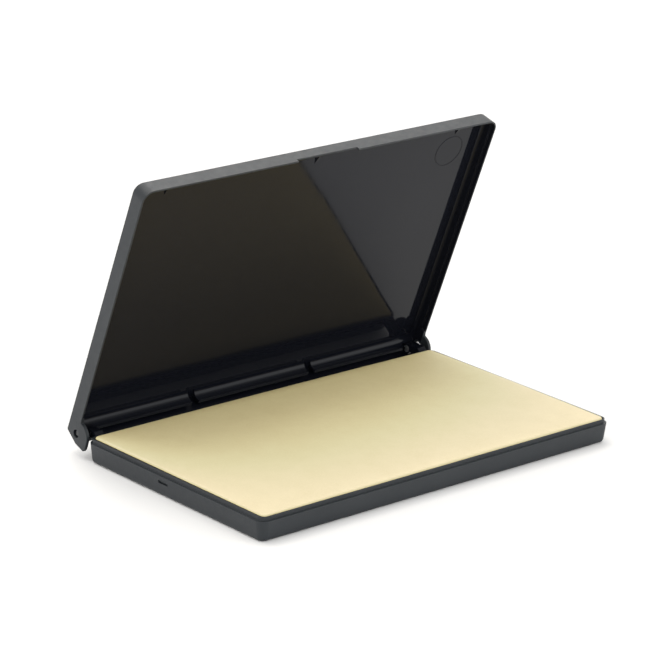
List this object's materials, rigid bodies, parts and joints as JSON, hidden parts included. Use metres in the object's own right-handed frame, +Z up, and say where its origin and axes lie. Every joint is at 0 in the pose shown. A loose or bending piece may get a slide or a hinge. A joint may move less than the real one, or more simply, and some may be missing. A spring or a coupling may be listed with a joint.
{
  "type": "ink pad",
  "caption": "Flat rectangular ink pad in a shallow plastic case, with a cloth-covered felt pad and a hinged lid with side ears and a thumb notch.",
  "frame": {"origin": "middle of the base tray's flat underside", "axes": "+X along the hinge and the long side, -Y towards the side where the lid opens, +Z up out of the pad"},
  "size_m": [0.164, 0.1073, 0.1071],
  "materials": {
    "case_plastic": "black moulded polystyrene, finely textured outside and polished inside the lid",
    "pin_plastic": "plain black plastic",
    "pad_cloth": "undyed cream cloth with a very fine weave, dry",
    "pad_felt": "pressed wool felt",
    "backing_board": "stiff grey-brown paperboard",
    "adhesive": "thin double-sided tape"
  },
  "bodies": {
    "root": {"base_tray": "case_plastic", "hinge_pin_left": "pin_plastic", "hinge_pin_right": "pin_plastic", "pad_cover_cloth": "pad_cloth", "pad_felt": "pad_felt", "pad_backing_board": "backing_board", "adhesive_strip_front": "adhesive", "adhesive_strip_rear": "adhesive"},
    "lid": {"lid": "case_plastic"}
  },
  "joints": [
    {"name": "lid_hinge", "type": "hinge", "parent": "root", "child": "lid", "pos_m": [0, 0.0538, 0.0086], "axis": [-1, 0, 0], "range_deg": [-69.8, 65]}
  ]
}
